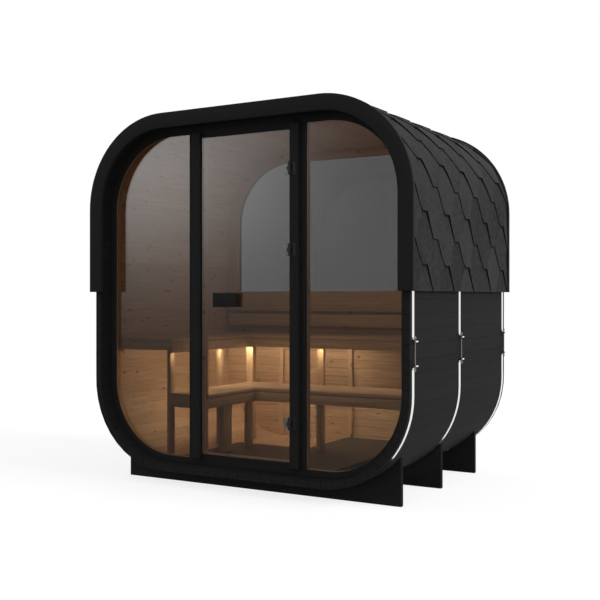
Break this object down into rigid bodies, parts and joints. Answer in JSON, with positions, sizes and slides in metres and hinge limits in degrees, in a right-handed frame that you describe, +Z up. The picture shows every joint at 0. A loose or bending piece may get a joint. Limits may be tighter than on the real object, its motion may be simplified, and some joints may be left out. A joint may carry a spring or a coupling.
{
  "type": "cube sauna cabin",
  "caption": "Rounded-square outdoor sauna cabin on board cradles, with a glass front and hinged glass door, steel bands, a shingled upper half, a rear window and two-tier corner benches.",
  "frame": {"origin": "bottom centre of the bounding box, on the ground under the middle cradle", "axes": "+Z up, the glass front faces -Y, +X is to the right of someone who faces the front"},
  "size_m": [2.162, 1.56, 2.2],
  "materials": {
    "black_boards": "black stained boards, matt",
    "black_frame": "black painted timber, satin",
    "roof_shingles": "dark grey granular bitumen shingles",
    "tinted_glass": "smoked glass, polished",
    "warm_wood": "bare knotty softwood, planed",
    "handle_black": "black stained, matt",
    "hinge_steel": "brushed",
    "hinge_black": "black powder coat",
    "band_steel": "bright, lightly brushed",
    "lamp_lens": "frosted warm white lens"
  },
  "bodies": {
    "cabin": {"cradle_front": "black_boards", "cradle_middle": "black_boards", "cradle_rear": "black_boards", "shell_floor": "black_boards", "shell_left": "black_boards", "shell_right": "black_boards", "shell_ceiling": "black_boards", "shell_corner_low_left": "black_boards", "shell_corner_low_right": "black_boards", "shell_corner_high_left": "black_boards", "shell_corner_high_right": "black_boards", "fascia_front": "black_boards", "fascia_rear": "black_boards", "front_frame_left": "black_frame", "front_frame_right": "black_frame", "door_sill": "black_frame", "door_head": "black_frame", "mullion_left": "black_frame", "mullion_right": "black_frame", "rear_window_frame": "black_frame", "rear_wall_boards": "black_frame", "roof_left": "roof_shingles", "roof_right": "roof_shingles", "roof_top": "roof_shingles", "roof_corner_left": "roof_shingles", "roof_corner_right": "roof_shingles", "glass_left": "tinted_glass", "glass_right": "tinted_glass", "rear_window_glass": "tinted_glass", "floor_deck": "warm_wood", "rear_wall_battens": "warm_wood", "upper_bench_seats": "warm_wood", "upper_bench_frame": "warm_wood", "lower_bench_seats": "warm_wood", "lower_bench_frame": "warm_wood", "bench_legs": "warm_wood", "backrest": "warm_wood", "hinge_plates": "hinge_black", "band_front": "band_steel", "band_middle": "band_steel", "band_rear": "band_steel", "bench_lights": "lamp_lens"},
    "door": {"door_glass": "tinted_glass", "door_clips": "hinge_steel", "door_handle_outer": "handle_black", "door_handle_inner": "warm_wood"}
  },
  "joints": [
    {"name": "door_hinge", "type": "hinge", "parent": "cabin", "child": "door", "pos_m": [0.311, -0.706, 1.13], "axis": [0, 0, 1], "range_deg": [0, 110]}
  ]
}
